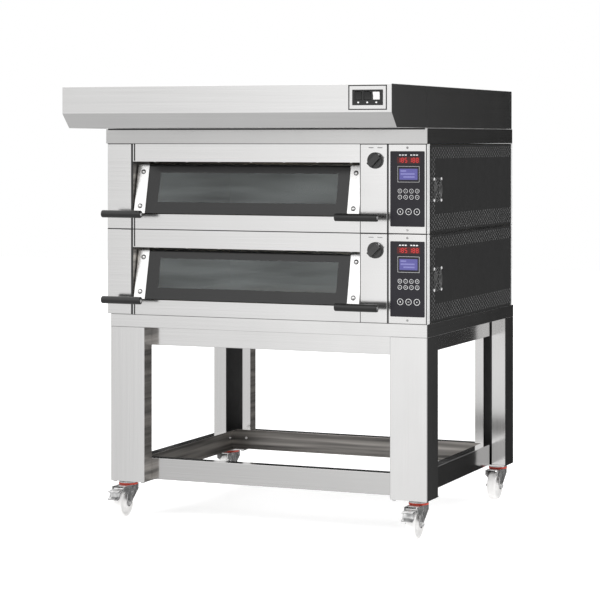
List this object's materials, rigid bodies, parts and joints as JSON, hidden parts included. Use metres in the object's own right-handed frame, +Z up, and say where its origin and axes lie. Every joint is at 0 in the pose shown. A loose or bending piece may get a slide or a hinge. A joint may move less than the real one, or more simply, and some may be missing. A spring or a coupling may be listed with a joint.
{
  "type": "deck oven",
  "caption": "Electric deck oven on a castor stand, with an extractor hood and a lift-up glass door on each deck.",
  "frame": {"origin": "on the floor, at the middle of the footprint", "axes": "+X to the oven's right as seen by a person facing it, +Y to the back, +Z up"},
  "size_m": [1.204, 1.3076, 1.526],
  "materials": {
    "stainless": "fine brushed, satin",
    "dark_steel": "charcoal satin coating on perforated sheet",
    "chrome": "bright zinc and chrome plate",
    "wheel_nylon": "white nylon",
    "black_plastic": "fine texture, matt",
    "white_plastic": "smooth",
    "door_glass": "tempered, with a black printed border",
    "liner_steel": "heat-dulled",
    "baking_stone": "rough fireclay",
    "mineral_wool": "fibrous board",
    "heater_steel": "oxidised sheath"
  },
  "bodies": {
    "oven_body": {"front_left_leg": "stainless", "front_right_leg": "stainless", "rear_left_leg": "stainless", "rear_right_leg": "stainless", "upper_frame": "stainless", "lower_frame": "stainless", "top_collar": "stainless", "hood_canopy": "stainless", "hood_plenum": "stainless", "hood_switch_plate": "black_plastic", "lower_casing": "stainless", "lower_right_side_cover": "dark_steel", "lower_left_front_panel": "stainless", "lower_mouth_frame": "stainless", "lower_right_front_panel": "stainless", "lower_control_panel": "stainless", "lower_insulation": "mineral_wool", "lower_baking_chamber": "liner_steel", "lower_baking_stone": "baking_stone", "lower_top_heating_element": "heater_steel", "lower_bottom_heating_element": "heater_steel", "lower_fan_frame": "black_plastic", "upper_casing": "stainless", "upper_right_side_cover": "dark_steel", "upper_left_front_panel": "stainless", "upper_mouth_frame": "stainless", "upper_right_front_panel": "stainless", "upper_control_panel": "stainless", "upper_insulation": "mineral_wool", "upper_baking_chamber": "liner_steel", "upper_baking_stone": "baking_stone", "upper_top_heating_element": "heater_steel", "upper_bottom_heating_element": "heater_steel", "upper_fan_frame": "black_plastic"},
    "lower_door": {"lower_door_frame": "stainless", "lower_door_glass": "door_glass", "lower_door_left_handle": "black_plastic", "lower_door_right_handle": "black_plastic"},
    "lower_damper": {"lower_damper_knob": "black_plastic"},
    "lower_cooling_fan": {"lower_fan_rotor": "black_plastic"},
    "upper_door": {"upper_door_frame": "stainless", "upper_door_glass": "door_glass", "upper_door_left_handle": "black_plastic", "upper_door_right_handle": "black_plastic"},
    "upper_damper": {"upper_damper_knob": "black_plastic"},
    "upper_cooling_fan": {"upper_fan_rotor": "black_plastic"},
    "hood_fan": {"hood_fan_wheel": "liner_steel"},
    "hood_light_switch": {"hood_light_rocker": "black_plastic"},
    "hood_fan_switch": {"hood_fan_rocker": "black_plastic"},
    "hood_power_switch": {"hood_power_rocker": "white_plastic"},
    "front_left_castor": {"front_left_castor_fork": "chrome"},
    "front_left_wheel": {"front_left_castor_wheel": "wheel_nylon"},
    "front_left_brake": {"front_left_brake_pedal": "chrome"},
    "front_right_castor": {"front_right_castor_fork": "chrome"},
    "front_right_wheel": {"front_right_castor_wheel": "wheel_nylon"},
    "front_right_brake": {"front_right_brake_pedal": "chrome"},
    "rear_left_castor": {"rear_left_castor_fork": "chrome"},
    "rear_left_wheel": {"rear_left_castor_wheel": "wheel_nylon"},
    "rear_right_castor": {"rear_right_castor_fork": "chrome"},
    "rear_right_wheel": {"rear_right_castor_wheel": "wheel_nylon"}
  },
  "joints": [
    {"name": "lower_door_hinge", "type": "hinge", "parent": "oven_body", "child": "lower_door", "pos_m": [0, -0.26846, 0.92722], "axis": [-1, 0, 0], "range_deg": [0, 70]},
    {"name": "lower_damper_turn", "type": "hinge", "parent": "oven_body", "child": "lower_damper", "pos_m": [0.415, -0.31617, 0.962], "axis": [0, 1, 0], "range_deg": [0, 90]},
    {"name": "lower_cooling_fan_spin", "type": "hinge", "parent": "oven_body", "child": "lower_cooling_fan", "pos_m": [0.585, -0.21817, 0.864], "axis": [1, 0, 0], "continuous": true},
    {"name": "upper_door_hinge", "type": "hinge", "parent": "oven_body", "child": "upper_door", "pos_m": [0, -0.26846, 1.22822], "axis": [-1, 0, 0], "range_deg": [0, 70]},
    {"name": "upper_damper_turn", "type": "hinge", "parent": "oven_body", "child": "upper_damper", "pos_m": [0.415, -0.31617, 1.263], "axis": [0, 1, 0], "range_deg": [0, 90]},
    {"name": "upper_cooling_fan_spin", "type": "hinge", "parent": "oven_body", "child": "upper_cooling_fan", "pos_m": [0.585, -0.21817, 1.165], "axis": [1, 0, 0], "continuous": true},
    {"name": "hood_fan_spin", "type": "hinge", "parent": "oven_body", "child": "hood_fan", "pos_m": [0, 0.32383, 1.43], "axis": [0, 0, 1], "continuous": true},
    {"name": "hood_light_switch_rock", "type": "hinge", "parent": "oven_body", "child": "hood_light_switch", "pos_m": [0.484, -0.64717, 1.474], "axis": [-1, 0, 0], "range_deg": [0, 20]},
    {"name": "hood_fan_switch_rock", "type": "hinge", "parent": "oven_body", "child": "hood_fan_switch", "pos_m": [0.515, -0.64717, 1.474], "axis": [-1, 0, 0], "range_deg": [0, 20]},
    {"name": "hood_power_switch_rock", "type": "hinge", "parent": "oven_body", "child": "hood_power_switch", "pos_m": [0.546, -0.64717, 1.474], "axis": [-1, 0, 0], "range_deg": [0, 20]},
    {"name": "front_left_castor_swivel", "type": "hinge", "parent": "oven_body", "child": "front_left_castor", "pos_m": [-0.548, -0.25817, 0.12], "axis": [0, 0, 1], "continuous": true},
    {"name": "front_left_wheel_spin", "type": "hinge", "parent": "front_left_castor", "child": "front_left_wheel", "pos_m": [-0.548, -0.29617, 0.05], "axis": [1, 0, 0], "continuous": true},
    {"name": "front_left_brake_press", "type": "hinge", "parent": "front_left_castor", "child": "front_left_brake", "pos_m": [-0.548, -0.33017, 0.101], "axis": [1, 0, 0], "range_deg": [0, 12]},
    {"name": "front_right_castor_swivel", "type": "hinge", "parent": "oven_body", "child": "front_right_castor", "pos_m": [0.548, -0.25817, 0.12], "axis": [0, 0, 1], "continuous": true},
    {"name": "front_right_wheel_spin", "type": "hinge", "parent": "front_right_castor", "child": "front_right_wheel", "pos_m": [0.548, -0.29617, 0.05], "axis": [1, 0, 0], "continuous": true},
    {"name": "front_right_brake_press", "type": "hinge", "parent": "front_right_castor", "child": "front_right_brake", "pos_m": [0.548, -0.33017, 0.101], "axis": [1, 0, 0], "range_deg": [0, 12]},
    {"name": "rear_left_castor_swivel", "type": "hinge", "parent": "oven_body", "child": "rear_left_castor", "pos_m": [-0.548, 0.60783, 0.12], "axis": [0, 0, 1], "continuous": true},
    {"name": "rear_left_wheel_spin", "type": "hinge", "parent": "rear_left_castor", "child": "rear_left_wheel", "pos_m": [-0.548, 0.56983, 0.05], "axis": [1, 0, 0], "continuous": true},
    {"name": "rear_right_castor_swivel", "type": "hinge", "parent": "oven_body", "child": "rear_right_castor", "pos_m": [0.548, 0.60783, 0.12], "axis": [0, 0, 1], "continuous": true},
    {"name": "rear_right_wheel_spin", "type": "hinge", "parent": "rear_right_castor", "child": "rear_right_wheel", "pos_m": [0.548, 0.56983, 0.05], "axis": [1, 0, 0], "continuous": true}
  ]
}
